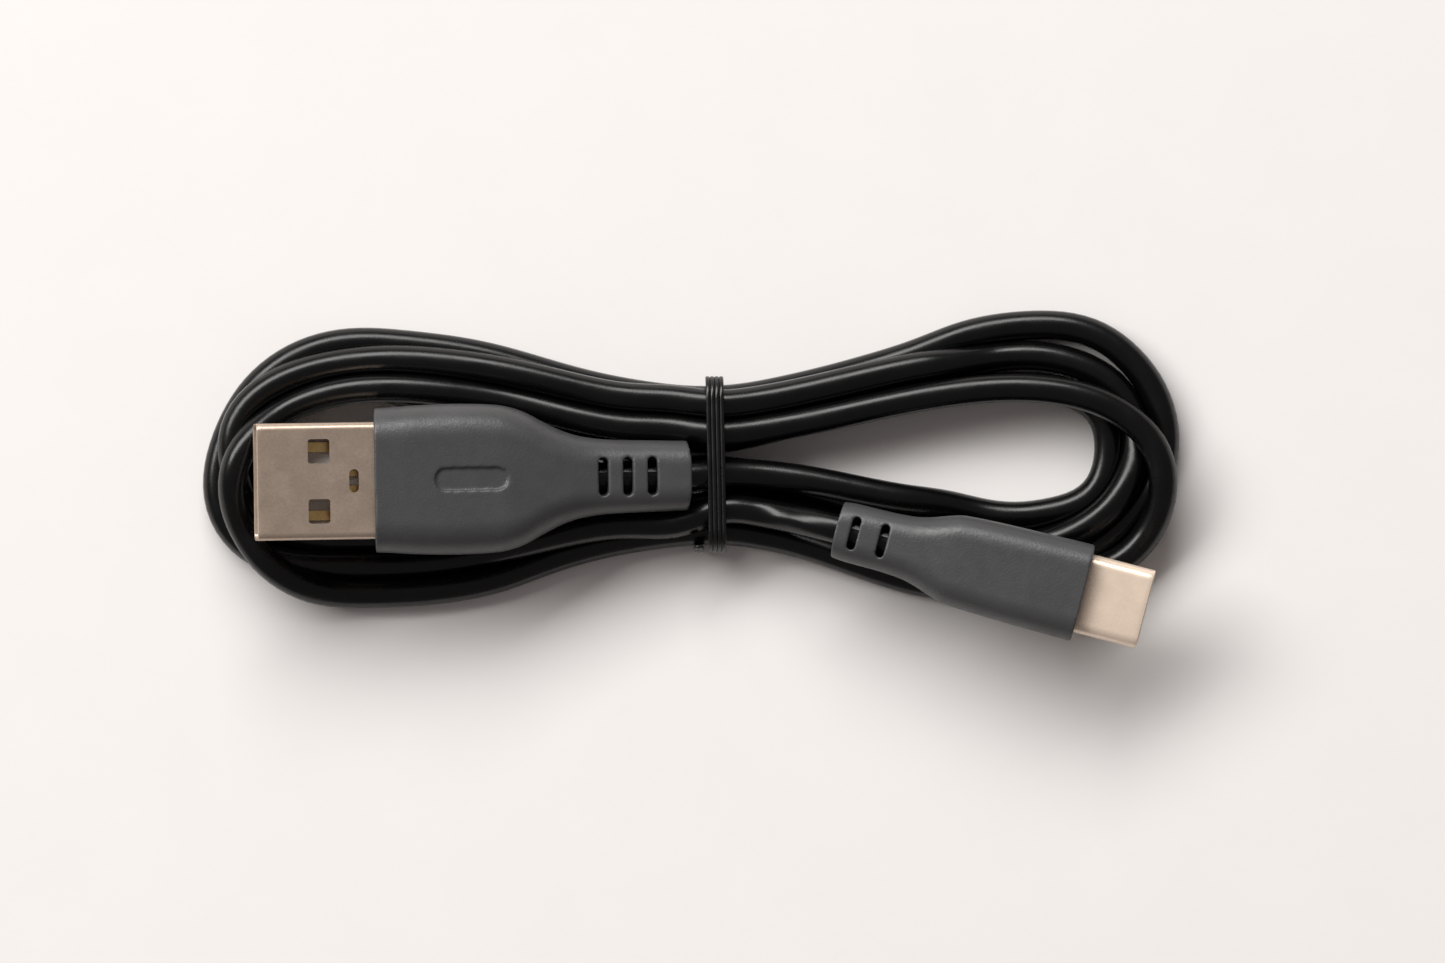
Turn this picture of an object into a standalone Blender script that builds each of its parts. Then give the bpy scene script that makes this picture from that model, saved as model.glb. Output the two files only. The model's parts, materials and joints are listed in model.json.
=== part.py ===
"""Charging cable, USB-A to USB-C, wound into a flat dog-bone hank and held at its waist by a ribbed tie.

Frame: the hank lies on the plane Z = 0, its long direction is X, and the USB-A plug points to -X.
Each plug is modelled along its own +X axis, from the mouth of its strain relief to the tip of its shell,
and hangs on an empty that stands on the point where the cord bends when the plug is lifted.
"""

import math

import bmesh
import bpy
from mathutils import Matrix, Vector

MM = 0.001
GAP = 0.3 * MM  # between pieces that touch or are moulded round each other
FINE_GAP = 0.1 * MM  # between the small pieces inside a connector
FRAME_SHIFT = (-0.02 * MM, 0.33 * MM, 0.0)  # puts the origin under the middle of the whole cable

# Cord and hank
CORD_DIAMETER = 3.0 * MM
CORD_RADIUS = CORD_DIAMETER / 2
HANK_HEIGHT = 2 * CORD_DIAMETER + 0.4 * MM  # two layers of cord, lifted a little by the tie
LOWER_LAYER = CORD_DIAMETER  # height of the hank where only one layer of cord lies
OUTLINE_STEPS = 4  # points on each stretch between two outline points

# Tie round the waist
TIE_X = 2.4 * MM
TIE_WIDTH = 1.9 * MM
TIE_THICKNESS = 0.6 * MM
TIE_SLANT = math.radians(1.1)
TIE_RIBS = 5
TIE_RIB_DEPTH = 0.12 * MM
WAIST_TOP = 9.4 * MM  # the hank's two sides where the tie holds it, along Y
WAIST_BOTTOM = -6.9 * MM
TAIL_LENGTH = 4.6 * MM
TAIL_WIDTH = 1.2 * MM

# USB-A plug: the standard shell and contacts, and its boot
A_MOUTH = Vector((-0.26 * MM, 0.05 * MM, 0))
A_YAW = math.radians(180.9)
A_PITCH = math.radians(6.3)
A_BOOT_LENGTH = 32.5 * MM
A_NECK_WIDTH, A_NECK_HEIGHT = 7.2 * MM, 5.2 * MM
A_HEAD_WIDTH, A_HEAD_HEIGHT = 15.5 * MM, 7.6 * MM
A_FRONT_WIDTH, A_FRONT_HEIGHT = 14.9 * MM, 7.4 * MM
A_HEAD_LENGTH = 12.5 * MM  # the straight stretch round the shell's root
A_HEAD_START = A_BOOT_LENGTH - A_HEAD_LENGTH
A_NECK_LENGTH = 0.4 * A_HEAD_START
A_MOUTH_BULGE = 0.5 * MM
A_SHELL_WIDTH, A_SHELL_HEIGHT = 12.0 * MM, 4.5 * MM
A_SHELL_WALL, A_SHELL_BEND = 0.3 * MM, 0.7 * MM
A_SHELL_OUT, A_SHELL_IN = 12.3 * MM, 6.4 * MM  # shell length past the boot, and inside it
A_CONTACT_Y = (-3.5 * MM, -1.0 * MM, 1.0 * MM, 3.5 * MM)
A_CONTACT_WIDTH, A_CONTACT_THICKNESS = 1.0 * MM, 0.25 * MM
A_CAN_LENGTH = 9.0 * MM
A_CAN_WIDTH, A_CAN_HEIGHT = 11.6 * MM, 4.8 * MM
A_SLOTS = (4.1 * MM, 6.64 * MM, 9.18 * MM)
A_SLOT_LENGTH, A_SLOT_WIDTH = 3.9 * MM, 0.94 * MM

# USB-C plug: the standard shell and contacts, and its boot
C_MOUTH = Vector((14.79 * MM, -5.44 * MM, 0))
C_YAW = math.radians(-14.6)
C_PITCH = math.radians(3.5)
C_BOOT_LENGTH = 26.15 * MM
C_NECK_WIDTH, C_NECK_HEIGHT = 5.9 * MM, 4.7 * MM
C_HEAD_WIDTH, C_HEAD_HEIGHT = 9.9 * MM, 5.4 * MM
C_FRONT_WIDTH, C_FRONT_HEIGHT = 10.2 * MM, 5.4 * MM
C_HEAD_LENGTH = 13.15 * MM
C_HEAD_START = C_BOOT_LENGTH - C_HEAD_LENGTH
C_NECK_LENGTH = 0.477 * C_HEAD_START
C_MOUTH_BULGE = 0.45 * MM
C_SHELL_WIDTH, C_SHELL_HEIGHT = 8.25 * MM, 2.4 * MM
C_SHELL_WALL = 0.2 * MM
C_SHELL_OUT, C_SHELL_IN = 6.65 * MM, 4.6 * MM
C_CONTACT_PITCH = 0.5 * MM
C_CONTACTS_UPPER = {"gnd_a1": -5.5, "vbus_a4": -2.5, "cc_a5": -1.5, "dplus_a6": -0.5,
                    "dminus_a7": 0.5, "vbus_a9": 2.5, "gnd_a12": 5.5}
C_CONTACTS_LOWER = {"gnd_b12": -5.5, "vbus_b9": -2.5, "vconn_b5": 1.5, "vbus_b4": 2.5, "gnd_b1": 5.5}
C_CONTACT_WIDTH, C_CONTACT_THICKNESS = 0.25 * MM, 0.12 * MM
C_BOARD_LENGTH, C_BOARD_WIDTH, C_BOARD_THICKNESS = 6.4 * MM, 6.6 * MM, 0.6 * MM
C_CAN_WALL = 0.2 * MM
C_SLOTS = (1.95 * MM, 5.0 * MM)
C_SLOT_LENGTH, C_SLOT_WIDTH = 3.4 * MM, 0.8 * MM

# Inside both boots
BORE_RADIUS = CORD_RADIUS + GAP
CORD_END_START = 1.5 * MM  # the fixed cord end stands this far inside the mouth
SLOT_WEB = 0.4 * MM  # rubber left between a slot from above and one from below
WIRE_RADIUS = 0.35 * MM

RING_CORNER_STEPS = 6

# The hank seen from above, as points on smooth closed outlines, in millimetres
HANK_OUTLINE = (
    (2.4, 9.4), (-7.5, 10.2), (-19.7, 13.4), (-32.5, 15.1), (-41.5, 13.2), (-48.3, 7.2),
    (-50.0, 0.4), (-48.5, -4.5), (-44.5, -10.3), (-38.0, -13.0), (-30.0, -13.6), (-21.8, -12.2),
    (-9.5, -8.1), (2.4, -6.9), (13.0, -8.5), (24.0, -11.2), (34.0, -12.2), (43.0, -10.8),
    (48.6, -5.3), (50.0, 0.4), (49.3, 7.2), (45.6, 14.2), (37.0, 17.0), (28.5, 15.7), (14.5, 11.4),
)
LEFT_WINDOW = (
    (-4.0, 2.9), (-10.5, 4.4), (-20.0, 6.3), (-30.5, 7.5), (-37.5, 6.8), (-42.0, 4.2),
    (-43.2, 0.6), (-42.4, -3.2), (-38.2, -5.3), (-31.0, -5.3), (-22.0, -3.5), (-11.0, 0.2),
)
RIGHT_WINDOW = (
    (6.0, 2.5), (11.5, 1.2), (19.2, -0.5), (27.0, -2.1), (34.0, -2.9), (39.1, -1.4),
    (41.9, 2.2), (40.2, 6.6), (34.0, 7.7), (25.0, 6.8), (15.0, 4.6),
)
# Where the upper layer of cord is missing: under the USB-A boot, and under the USB-C lead and plug
LEFT_LOW_AREA = (
    (-46.0, -16.0), (-46.0, -7.5), (-38.0, -8.0), (-33.5, -3.0), (-33.5, 6.6), (-14.0, 6.6),
    (-8.0, 3.2), (0.3, 3.2), (0.3, -16.0),
)
RIGHT_LOW_AREA = (
    (4.4, -16.0), (4.4, 2.2), (20.0, 2.0), (37.0, 0.0), (42.5, -4.5), (46.5, -9.0), (50.0, -16.0),
)


# ---------------------------------------------------------------- helpers

def clear_scene():
    for obj in list(bpy.data.objects):
        bpy.data.objects.remove(obj, do_unlink=True)


def make_material(name, colour, roughness, metallic=0.0):
    material = bpy.data.materials.new(name)
    material.use_nodes = True
    shader = material.node_tree.nodes["Principled BSDF"]
    shader.inputs["Base Color"].default_value = (*colour, 1.0)
    shader.inputs["Roughness"].default_value = roughness
    shader.inputs["Metallic"].default_value = metallic
    material.diffuse_color = (*colour, 1.0)
    return material


def add_object(name, data, material, parent=None):
    obj = bpy.data.objects.new(name, data)
    bpy.context.scene.collection.objects.link(obj)
    obj.parent = parent
    if material:
        data.materials.append(material)
    return obj


def mesh_object(name, bm, material, parent=None):
    """A mesh object made from bm, with its faces turned outwards and its round sides smooth."""
    bmesh.ops.recalc_face_normals(bm, faces=bm.faces)
    mesh = bpy.data.meshes.new(name)
    bm.to_mesh(mesh)
    bm.free()
    mesh.shade_smooth()
    mesh.set_sharp_from_angle(angle=math.radians(35))
    return add_object(name, mesh, material, parent)


def cut(obj, *cutters):
    """Takes each cutter out of obj and keeps it as a helper that isn't part of the model."""
    for cutter in cutters:
        cutter.hide_render = True
        cutter.display_type = "WIRE"
        modifier = obj.modifiers.new("cut_" + cutter.name, "BOOLEAN")
        modifier.operation = "DIFFERENCE"
        modifier.solver = "EXACT"
        modifier.object = cutter


def rounded_rectangle(width, height, corner, steps=RING_CORNER_STEPS):
    """Points (y, z) round a rectangle whose corners are arcs."""
    corner = min(corner, width / 2 - 1e-6, height / 2 - 1e-6)
    points = []
    for turn in range(4):
        sign_y = (1, -1, -1, 1)[turn]
        sign_z = (1, 1, -1, -1)[turn]
        for step in range(steps + 1):
            angle = math.radians(90 * (turn + step / steps))
            points.append((sign_y * (width / 2 - corner) + corner * math.cos(angle),
                           sign_z * (height / 2 - corner) + corner * math.sin(angle)))
    return points


def loft(name, rings, material, parent=None):
    """A closed solid through rings that all have as many points."""
    bm = bmesh.new()
    loops = [[bm.verts.new(point) for point in ring] for ring in rings]
    for low, high in zip(loops, loops[1:]):
        for i in range(len(low)):
            j = (i + 1) % len(low)
            bm.faces.new((low[i], low[j], high[j], high[i]))
    for loop in (loops[0], loops[-1]):
        centre = bm.verts.new(sum((v.co for v in loop), Vector()) / len(loop))
        for i in range(len(loop)):
            bm.faces.new((loop[i], loop[(i + 1) % len(loop)], centre))
    return mesh_object(name, bm, material, parent)


def bar(name, x0, x1, width, height, corner, material, parent=None, y=0.0, z=0.0, steps=RING_CORNER_STEPS):
    """A straight bar along X with a rounded-rectangle section."""
    section = rounded_rectangle(width, height, corner, steps)
    rings = [[Vector((x, y + u, z + v)) for u, v in section] for x in (x0, x1)]
    return loft(name, rings, material, parent)


def block(name, x0, x1, width, height, material, parent=None, y=0.0, z=0.0):
    """A plain box along X, centred on (y, z)."""
    bm = bmesh.new()
    place = Matrix.Translation(((x0 + x1) / 2, y, z)) @ Matrix.Diagonal((x1 - x0, width, height, 1))
    bmesh.ops.create_cube(bm, size=1, matrix=place)
    return mesh_object(name, bm, material, parent)


def rod(name, x0, x1, radius, material, parent=None, y=0.0, z=0.0, sides=20):
    """A round rod along X."""
    rings = [[Vector((x, y + radius * math.cos(2 * math.pi * i / sides),
                      z + radius * math.sin(2 * math.pi * i / sides))) for i in range(sides)] for x in (x0, x1)]
    return loft(name, rings, material, parent)


def prism(name, outline, z0, z1, material=None, parent=None):
    """An upright solid over an outline of (x, y) points in metres."""
    bm = bmesh.new()
    base = bm.faces.new([bm.verts.new((x, y, z0)) for x, y in outline])
    top = bmesh.ops.extrude_face_region(bm, geom=[base])["geom"]
    raised = [v for v in top if isinstance(v, bmesh.types.BMVert)]
    bmesh.ops.translate(bm, vec=(0, 0, z1 - z0), verts=raised)
    return mesh_object(name, bm, material, parent)


def smooth_outline(points, steps=OUTLINE_STEPS):
    """A closed Catmull-Rom curve through points in millimetres, as (x, y) in metres."""
    found = []
    count = len(points)
    for i in range(count):
        a, b, c, d = (Vector(points[(i + k) % count]) for k in (-1, 0, 1, 2))
        for step in range(steps):
            t = step / steps
            p = 0.5 * ((2 * b) + (c - a) * t + (2 * a - 5 * b + 4 * c - d) * t * t
                       + (3 * b - a - 3 * c + d) * t ** 3)
            found.append((p.x * MM, p.y * MM))
    return found


def smooth_path(points, step):
    """Points read every step along a Catmull-Rom curve through the route's own points."""
    dense = []
    padded = [2 * points[0] - points[1], *points, 2 * points[-1] - points[-2]]
    for a, b, c, d in zip(padded, padded[1:], padded[2:], padded[3:]):
        for i in range(20):
            t = i / 20
            dense.append(0.5 * ((2 * b) + (c - a) * t + (2 * a - 5 * b + 4 * c - d) * t * t
                                + (3 * b - a - 3 * c + d) * t ** 3))
    dense.append(points[-1])
    length = sum((b - a).length for a, b in zip(dense, dense[1:]))
    count = max(2, round(length / step))
    found, walked, wanted = [dense[0]], 0.0, length / count
    for a, b in zip(dense, dense[1:]):
        walked += (b - a).length
        if walked >= wanted and len(found) < count:
            found.append(b)
            wanted += length / count
    return found + [dense[-1]]


def tube(name, points, radius, material, parent=None, resolution=2):
    """A round tube with closed ends along points."""
    curve = bpy.data.curves.new(name, "CURVE")
    curve.dimensions = "3D"
    curve.bevel_depth = radius
    curve.bevel_resolution = resolution
    curve.use_fill_caps = True
    spline = curve.splines.new("POLY")
    spline.points.add(len(points) - 1)
    for target, point in zip(spline.points, points):
        target.co = (*point, 1.0)
    return add_object(name, curve, material, parent)


def smoothstep(t):
    t = min(max(t, 0.0), 1.0)
    return t * t * (3 - 2 * t)


def plug_pivot(name, mouth, height, yaw, pitch, frame):
    """The empty that a plug rides on. It stands in the mouth of the strain relief, where the cord bends."""
    pivot = bpy.data.objects.new(name, None)
    bpy.context.scene.collection.objects.link(pivot)
    pivot.parent = frame
    pivot.location = (mouth.x, mouth.y, height)
    pivot.rotation_euler = (0, -pitch, yaw)
    return pivot


# ---------------------------------------------------------------- boots

def boot(name, size, material, pivot, grow=0.0):
    """A moulded boot along +X: a slim strain relief that swells into the head round the connector.

    The mouth end is bowed outwards. grow offsets the whole skin, for the room that the boot needs.
    """
    stations = [0.0, 0.2 * size["neck_length"]]
    rise = size["head_start"] - size["neck_length"]
    stations += [size["neck_length"] + rise * step / 8 for step in range(9)]
    stations += [size["length"]]
    rings = []
    for index, x in enumerate(stations):
        swell = smoothstep((x - size["neck_length"]) / rise)
        taper = smoothstep((x - size["head_start"]) / (size["length"] - size["head_start"]))
        width, height = (n + (h - n) * swell + (f - h) * taper for n, h, f in
                         zip(size["neck"], size["head"], size["front"]))
        section = rounded_rectangle(width + 2 * grow, height + 2 * grow, size["corner"] + grow)
        end = -grow if index == 0 else grow if index == len(stations) - 1 else 0.0
        bow = size["bulge"] if index == 0 else 0.0
        rings.append([Vector((x + end + bow * (y / (width / 2)) ** 2, y, z)) for y, z in section])
    return loft(name, rings, material, pivot)


def slot_cutters(name, places, length, width, height, pivot):
    """Slots across the strain relief, from above and from below, that stop short of each other."""
    cutters = []
    for number, x in enumerate(places, 1):
        outline = [(x + v, u) for u, v in rounded_rectangle(length, width, width / 2)]
        for side, sign in (("top", 1), ("bottom", -1)):
            z0, z1 = sorted((sign * SLOT_WEB / 2, sign * height))
            cutters.append(prism(f"{name}_slot_{side}_{number}", outline, z0, z1, None, pivot))
    return cutters


def wires(prefix, colours, start_x, mould_x, end_x, end_y, end_z, materials, pivot):
    """Insulated conductors that fan out from the cord's end to a flat row."""
    spread = CORD_RADIUS * 0.46
    for index, colour in enumerate(colours):
        angle = math.radians(45 + 90 * index)
        y0, z0 = spread * math.cos(angle), spread * math.sin(angle)
        y0 = abs(y0) * (1 if end_y[index] > 0 else -1)
        z0 = abs(z0) * (1 if index in (1, 2) else -1)
        route = [Vector((start_x, y0, z0)), Vector((start_x + 0.6 * MM, y0, z0)),
                 Vector((mould_x - 0.6 * MM, end_y[index], end_z)), Vector((mould_x, end_y[index], end_z)),
                 Vector((end_x, end_y[index], end_z))]
        tube(f"{prefix}_wire_{colour}", smooth_path(route, 0.9 * MM), WIRE_RADIUS, materials[colour], pivot, 1)


# ---------------------------------------------------------------- USB-A plug

def usb_a_plug(pivot, materials):
    front = A_BOOT_LENGTH
    shell_start, tip = front - A_SHELL_IN, front + A_SHELL_OUT
    can_start = shell_start - A_CAN_LENGTH
    inner_width = A_SHELL_WIDTH - 2 * A_SHELL_WALL
    inner_height = A_SHELL_HEIGHT - 2 * A_SHELL_WALL

    # Drawn shell, open at both ends, with two latch windows on each broad side and one stake slot on top
    shell = bar("usb_a_shell", shell_start, tip, A_SHELL_WIDTH, A_SHELL_HEIGHT, A_SHELL_BEND,
                materials["champagne"], pivot)
    hollow = bar("usb_a_shell_hollow", shell_start - MM, tip + MM, inner_width, inner_height,
                 A_SHELL_BEND - A_SHELL_WALL, None, pivot)
    window_x, window_y = tip - 6.35 * MM, 3.08 * MM
    windows = []
    for number, y in enumerate((-window_y, window_y), 1):
        outline = [(window_x + u, y + v) for u, v in rounded_rectangle(2.25 * MM, 2.5 * MM, 0.3 * MM, 3)]
        windows.append(prism(f"usb_a_shell_windows_{number}", outline, -A_SHELL_HEIGHT, A_SHELL_HEIGHT, None, pivot))
    outline = [(tip - 9.95 * MM + u, v) for u, v in rounded_rectangle(1.0 * MM, 2.4 * MM, 0.5 * MM, 4)]
    stake = prism("usb_a_shell_stake_slot", outline, 0.0, A_SHELL_HEIGHT, None, pivot)
    cut(shell, hollow, *windows, stake)

    # Insulator: a base that fills the shell behind the receptacle's reach, and the tongue under the contacts
    base_end = front + 1.0 * MM
    tongue_top = -0.05 * MM
    tongue_bottom = -inner_height / 2 + FINE_GAP
    tongue = bar("usb_a_insulator", shell_start + 0.6 * MM, tip - 0.6 * MM, inner_width - 2 * FINE_GAP,
                 inner_height - 2 * FINE_GAP, 0.3 * MM, materials["liner"], pivot, steps=2)
    above = block("usb_a_insulator_step", base_end, tip + MM, A_SHELL_WIDTH, A_SHELL_HEIGHT,
                  None, pivot, z=tongue_top + A_SHELL_HEIGHT / 2)
    rear = block("usb_a_insulator_rear", shell_start - MM, shell_start + 2.2 * MM, A_SHELL_WIDTH, A_SHELL_HEIGHT,
                 None, pivot, z=tongue_top + A_SHELL_HEIGHT / 2)
    grooves = []
    groove_height = A_CONTACT_THICKNESS + 2 * FINE_GAP
    for number, y in enumerate(A_CONTACT_Y, 1):
        grooves.append(block(f"usb_a_insulator_groove_{number}", shell_start - MM, base_end + MM,
                             A_CONTACT_WIDTH + 2 * FINE_GAP, groove_height, None, pivot,
                             y=y, z=tongue_top + groove_height / 2))
    cut(tongue, above, rear, *grooves)

    # Four contacts: the outer pair reaches further forward, so that power mates first
    contact_z = tongue_top + FINE_GAP + A_CONTACT_THICKNESS / 2
    for label, y in zip(("vbus", "dminus", "dplus", "gnd"), A_CONTACT_Y):
        reach = tip - (1.2 if label in ("vbus", "gnd") else 2.2) * MM
        block(f"usb_a_contact_{label}", shell_start - 1.6 * MM, reach, A_CONTACT_WIDTH, A_CONTACT_THICKNESS,
              materials["gold"], pivot, y=y, z=contact_z)

    # Shield can behind the shell, over the potted solder joints
    can = bar("usb_a_shield_can", can_start, shell_start - GAP, A_CAN_WIDTH, A_CAN_HEIGHT, 0.8 * MM,
              materials["tinned"], pivot, steps=3)
    can_room = bar("usb_a_can_room", can_start + 0.3 * MM, shell_start + MM, A_CAN_WIDTH - 0.6 * MM,
                   A_CAN_HEIGHT - 0.6 * MM, 0.5 * MM, None, pivot, steps=3)
    can_hole = rod("usb_a_can_hole", can_start - MM, can_start + MM, BORE_RADIUS, None, pivot)
    cut(can, can_room, can_hole)
    mould_start, mould_end = can_start + 3.9 * MM, shell_start - 2.4 * MM
    mould = bar("usb_a_inner_mould", mould_start, mould_end, A_CAN_WIDTH - 0.6 * MM - 2 * GAP,
                A_CAN_HEIGHT - 0.6 * MM - 2 * GAP, 0.4 * MM, materials["liner"], pivot, steps=2)
    lanes = (-3.5 * MM, -1.2 * MM, 1.2 * MM, 3.5 * MM)
    channels = [rod(f"usb_a_mould_channel_{n}", mould_start - MM, mould_end + MM, WIRE_RADIUS + 2 * FINE_GAP,
                    None, pivot, y=y, z=contact_z, sides=12) for n, y in enumerate(lanes, 1)]
    cut(mould, *channels)
    rod("usb_a_cord_end", CORD_END_START, can_start + 0.2 * MM, CORD_RADIUS, materials["cord"], pivot)
    wires("usb_a", ("red", "white", "green", "black"), can_start + 0.5 * MM, mould_start - 0.1 * MM,
          shell_start - 1.9 * MM, lanes, contact_z, materials, pivot)

    # Over-moulded boot, open where the cord goes in and where the shell comes out
    size = {"length": A_BOOT_LENGTH, "neck": (A_NECK_WIDTH, A_NECK_HEIGHT), "head": (A_HEAD_WIDTH, A_HEAD_HEIGHT),
            "front": (A_FRONT_WIDTH, A_FRONT_HEIGHT), "neck_length": A_NECK_LENGTH, "head_start": A_HEAD_START,
            "corner": 2.0 * MM, "bulge": A_MOUTH_BULGE}
    skin = boot("usb_a_overmold", size, materials["boot"], pivot)
    bore = rod("usb_a_boot_bore", -MM, can_start + MM, BORE_RADIUS, None, pivot)
    room = bar("usb_a_boot_can_room", can_start - GAP, shell_start, A_CAN_WIDTH + 2 * GAP,
               A_CAN_HEIGHT + 2 * GAP, 0.8 * MM, None, pivot, steps=3)
    mouth = bar("usb_a_boot_shell_room", shell_start - GAP, front + MM, A_SHELL_WIDTH + 2 * GAP,
                A_SHELL_HEIGHT + 2 * GAP, A_SHELL_BEND, None, pivot, steps=3)
    cut(skin, bore, room, mouth,
        *slot_cutters("usb_a", A_SLOTS, A_SLOT_LENGTH, A_SLOT_WIDTH, A_NECK_HEIGHT, pivot))
    return boot("usb_a_boot_clearance", size, None, pivot, GAP)


# ---------------------------------------------------------------- USB-C plug

def usb_c_plug(pivot, materials):
    front = C_BOOT_LENGTH
    shell_start, tip = front - C_SHELL_IN, front + C_SHELL_OUT
    inner_width = C_SHELL_WIDTH - 2 * C_SHELL_WALL
    inner_height = C_SHELL_HEIGHT - 2 * C_SHELL_WALL

    shell = bar("usb_c_shell", shell_start, tip, C_SHELL_WIDTH, C_SHELL_HEIGHT, C_SHELL_HEIGHT / 2,
                materials["pale_gold"], pivot, steps=8)
    hollow = bar("usb_c_shell_hollow", shell_start - MM, tip + MM, inner_width, inner_height,
                 inner_height / 2, None, pivot, steps=8)
    cut(shell, hollow)

    # Contact carrier: a ring of plastic inside the shell, open at the tip and closed behind
    carrier_width, carrier_height = inner_width - 2 * FINE_GAP, inner_height - 2 * FINE_GAP
    cavity_width, cavity_height = 6.7 * MM, 1.3 * MM
    carrier_start = shell_start + 0.4 * MM
    carrier = bar("usb_c_contact_carrier", carrier_start, tip - 0.3 * MM, carrier_width, carrier_height,
                  carrier_height / 2, materials["black_plastic"], pivot, steps=5)
    cavity = block("usb_c_carrier_cavity", carrier_start + 1.2 * MM, tip + MM, cavity_width, cavity_height,
                   None, pivot)
    tail_slit = block("usb_c_carrier_tails", shell_start - MM, tip - 2 * MM, cavity_width - 0.6 * MM, cavity_height,
                      None, pivot)
    cut(carrier, cavity, tail_slit)

    # Sprung contacts along the cavity's upper and lower walls, and the latch fork round its sides
    contact_z = cavity_height / 2 - FINE_GAP - C_CONTACT_THICKNESS / 2
    for row, sign, contacts in (("upper", 1, C_CONTACTS_UPPER), ("lower", -1, C_CONTACTS_LOWER)):
        for label, lane in contacts.items():
            block(f"usb_c_contact_{label}", shell_start - 0.9 * MM, tip - 1.1 * MM, C_CONTACT_WIDTH,
                  C_CONTACT_THICKNESS, materials["gold"], pivot, y=lane * C_CONTACT_PITCH, z=sign * contact_z)
    fork_width, fork_height = cavity_width - 2 * FINE_GAP, 0.3 * MM
    fork_start = carrier_start + 1.2 * MM + FINE_GAP
    fork = block("usb_c_latch_fork", fork_start, tip - 1.0 * MM, fork_width, fork_height, materials["steel"], pivot)
    fork_gap = block("usb_c_latch_fork_gap", fork_start + 0.8 * MM, tip + MM, fork_width - 0.7 * MM, MM, None, pivot)
    cut(fork, fork_gap)

    # Paddle board that the contact tails straddle, with the pull-up resistor on its top
    board_end = shell_start + 0.3 * MM
    board_start = board_end - C_BOARD_LENGTH
    block("usb_c_paddle_board", board_start, board_end, C_BOARD_WIDTH - 0.8 * MM, C_BOARD_THICKNESS,
          materials["board"], pivot)
    resistor_height = 0.35 * MM
    block("usb_c_pullup_resistor", board_start + 3.0 * MM, board_start + 4.0 * MM, 0.5 * MM, resistor_height,
          materials["black_plastic"], pivot, y=0.9 * MM,
          z=C_BOARD_THICKNESS / 2 + FINE_GAP + resistor_height / 2)

    # Shield can over the board, and the inner mould that seals the wires behind it
    can_start, can_end = board_start - 1.6 * MM, shell_start - GAP
    can_width, can_height = C_BOARD_WIDTH + 2 * GAP + 2 * C_CAN_WALL, 2.6 * MM
    can = bar("usb_c_shield_can", can_start, can_end, can_width, can_height, 0.5 * MM, materials["tinned"],
              pivot, steps=3)
    can_room = bar("usb_c_can_room", can_start - MM, can_end + MM, can_width - 2 * C_CAN_WALL,
                   can_height - 2 * C_CAN_WALL, 0.3 * MM, None, pivot, steps=3)
    cut(can, can_room)
    mould_start = can_start - 2.4 * MM
    lanes = (-2.1 * MM, -0.7 * MM, 0.7 * MM, 2.1 * MM)
    wire_z = C_BOARD_THICKNESS / 2 + WIRE_RADIUS + FINE_GAP
    mould_end = can_start - GAP
    mould = bar("usb_c_inner_mould", mould_start, mould_end, 6.0 * MM, 3.2 * MM, 0.6 * MM, materials["liner"],
                pivot, steps=2)
    channels = [rod(f"usb_c_mould_channel_{n}", mould_start - MM, mould_end + MM, WIRE_RADIUS + 2 * FINE_GAP,
                    None, pivot, y=y, z=wire_z / 2, sides=12) for n, y in enumerate(lanes, 1)]
    cut(mould, *channels)
    cord_end = mould_start - 2.2 * MM
    rod("usb_c_cord_end", CORD_END_START, cord_end, CORD_RADIUS, materials["cord"], pivot)
    wires("usb_c", ("red", "white", "green", "black"), cord_end + 0.3 * MM, mould_start - 0.1 * MM,
          board_start - 0.3 * MM, lanes, wire_z / 2, materials, pivot)

    size = {"length": C_BOOT_LENGTH, "neck": (C_NECK_WIDTH, C_NECK_HEIGHT), "head": (C_HEAD_WIDTH, C_HEAD_HEIGHT),
            "front": (C_FRONT_WIDTH, C_FRONT_HEIGHT), "neck_length": C_NECK_LENGTH, "head_start": C_HEAD_START,
            "corner": 1.9 * MM, "bulge": C_MOUTH_BULGE}
    skin = boot("usb_c_overmold", size, materials["boot"], pivot)
    bore = rod("usb_c_boot_bore", -MM, mould_start, BORE_RADIUS, None, pivot)
    mould_room = bar("usb_c_boot_mould_room", cord_end - GAP, can_start, 6.0 * MM + 2 * GAP, 3.2 * MM + 2 * GAP,
                     0.6 * MM, None, pivot, steps=3)
    can_space = bar("usb_c_boot_can_room", can_start - GAP, shell_start, can_width + 2 * GAP, can_height + 2 * GAP,
                    0.5 * MM, None, pivot, steps=3)
    mouth = bar("usb_c_boot_shell_room", shell_start - GAP, front + MM, C_SHELL_WIDTH + 2 * GAP,
                C_SHELL_HEIGHT + 2 * GAP, C_SHELL_HEIGHT / 2 + GAP, None, pivot)
    cut(skin, bore, mould_room, can_space, mouth,
        *slot_cutters("usb_c", C_SLOTS, C_SLOT_LENGTH, C_SLOT_WIDTH, C_NECK_HEIGHT, pivot))


# ---------------------------------------------------------------- cord and tie

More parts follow.
